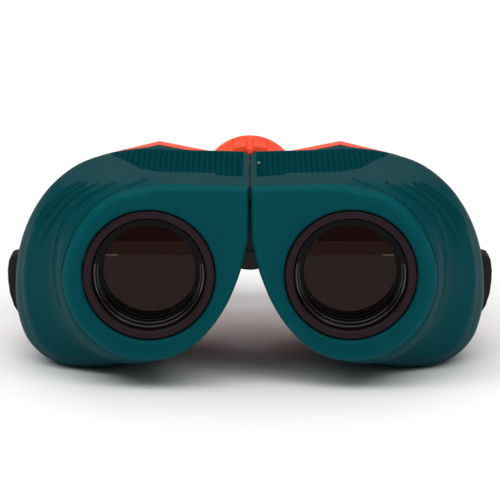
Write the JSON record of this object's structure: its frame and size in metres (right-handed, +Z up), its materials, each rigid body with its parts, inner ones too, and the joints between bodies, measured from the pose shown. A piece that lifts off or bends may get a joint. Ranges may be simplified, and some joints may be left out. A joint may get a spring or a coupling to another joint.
{
  "type": "compact binoculars",
  "caption": "Hand-held reverse-Porro binoculars with a folding centre hinge, central focus wheel, rubber armour, recessed objectives and flared eyecups.",
  "frame": {"origin": "centre of the bounding box on the resting plane", "axes": "+X across to the user's left half, +Y from the objectives back to the eyepieces, +Z up"},
  "size_m": [0.1144, 0.094, 0.0496],
  "materials": {
    "armor_rubber": "soft matt rubber",
    "orange_trim": "smooth",
    "orange_wheel": "soft grip",
    "shell_plastic": "fine texture",
    "ring_black": "satin",
    "objective_glass": "coated",
    "prism_glass": "clear",
    "plate_metal": "black anodised",
    "steel": "satin",
    "brass": "turned",
    "lug_plastic": "satin",
    "hinge_plastic": "satin",
    "tube_black": "satin",
    "eye_glass": "coated",
    "eyecup_rubber": "matt"
  },
  "bodies": {
    "left_half": {"left_body_shell": "shell_plastic", "left_rubber_armor": "armor_rubber", "left_rear_cover": "orange_trim", "left_objective_barrel": "shell_plastic", "left_objective_bezel": "ring_black", "left_objective_retainer": "ring_black", "left_objective_lens": "objective_glass", "left_prism_plate": "plate_metal", "left_prism_front": "prism_glass", "left_prism_rear": "prism_glass", "left_prism_clip_front": "steel", "left_prism_clip_rear": "steel", "left_cover_screw_upper": "steel", "left_cover_screw_lower": "steel", "left_strap_lug": "lug_plastic", "hinge_axle": "steel", "hinge_front_cap": "hinge_plastic", "hinge_front_washer": "steel", "hinge_rear_nut": "brass", "focus_sleeve": "brass", "wheel_retainer": "steel"},
    "right_half": {"right_body_shell": "shell_plastic", "right_rubber_armor": "armor_rubber", "right_rear_cover": "orange_trim", "right_objective_barrel": "shell_plastic", "right_objective_bezel": "ring_black", "right_objective_retainer": "ring_black", "right_objective_lens": "objective_glass", "right_prism_plate": "plate_metal", "right_prism_front": "prism_glass", "right_prism_rear": "prism_glass", "right_prism_clip_front": "steel", "right_prism_clip_rear": "steel", "right_cover_screw_upper": "steel", "right_cover_screw_lower": "steel", "right_strap_lug": "lug_plastic"},
    "focus_wheel": {"focus_wheel": "orange_wheel", "focus_wheel_core": "ring_black"},
    "focus_shaft": {"focus_shaft": "steel", "bridge_washer": "steel", "bridge_end_cap": "ring_black"},
    "left_eyepiece": {"left_eyepiece_tube": "tube_black", "left_lens_cell": "ring_black", "left_field_lens": "eye_glass", "left_eye_lens": "eye_glass", "left_eyecup": "eyecup_rubber", "left_eyepiece_collar": "tube_black"},
    "right_eyepiece": {"right_eyepiece_tube": "tube_black", "right_eyecup": "eyecup_rubber"},
    "right_diopter_ring": {"right_diopter_ring": "tube_black"},
    "right_ocular": {"right_lens_cell": "ring_black", "right_field_lens": "eye_glass", "right_eye_lens": "eye_glass"}
  },
  "joints": [
    {"name": "interpupillary_hinge", "type": "hinge", "parent": "left_half", "child": "right_half", "pos_m": [0, 0, 0.0357], "axis": [0, -1, 0], "range_deg": [0, 26]},
    {"name": "focus_wheel_turn", "type": "hinge", "parent": "left_half", "child": "focus_wheel", "pos_m": [0, 0.014, 0.0357], "axis": [0, 1, 0], "range_deg": [-136, 226]},
    {"name": "focus_shaft_slide", "type": "slide", "parent": "left_half", "child": "focus_shaft", "axis": [0, 1, 0], "range_m": [-0.0015, 0.0025]},
    {"name": "left_eyepiece_slide", "type": "slide", "parent": "left_half", "child": "left_eyepiece", "axis": [0, 1, 0], "range_m": [-0.00152, 0.00252]},
    {"name": "right_eyepiece_slide", "type": "slide", "parent": "right_half", "child": "right_eyepiece", "axis": [0, 1, 0], "range_m": [-0.00152, 0.00252]},
    {"name": "diopter_ring_turn", "type": "hinge", "parent": "right_eyepiece", "child": "right_diopter_ring", "pos_m": [-0.0346, 0.033, 0.0157], "axis": [0, 1, 0], "range_deg": [-30.5, 30.5]},
    {"name": "right_ocular_slide", "type": "slide", "parent": "right_eyepiece", "child": "right_ocular", "axis": [0, 1, 0], "range_m": [-0.0008, 0.0008]}
  ],
  "couplings": [
    {"joint": "focus_wheel_turn", "follows": "focus_shaft_slide", "rad_per_m": 1570.8},
    {"joint": "left_eyepiece_slide", "follows": "focus_shaft_slide", "ratio": 1},
    {"joint": "right_eyepiece_slide", "follows": "focus_shaft_slide", "ratio": 1},
    {"joint": "diopter_ring_turn", "follows": "right_ocular_slide", "rad_per_m": 654.5}
  ]
}
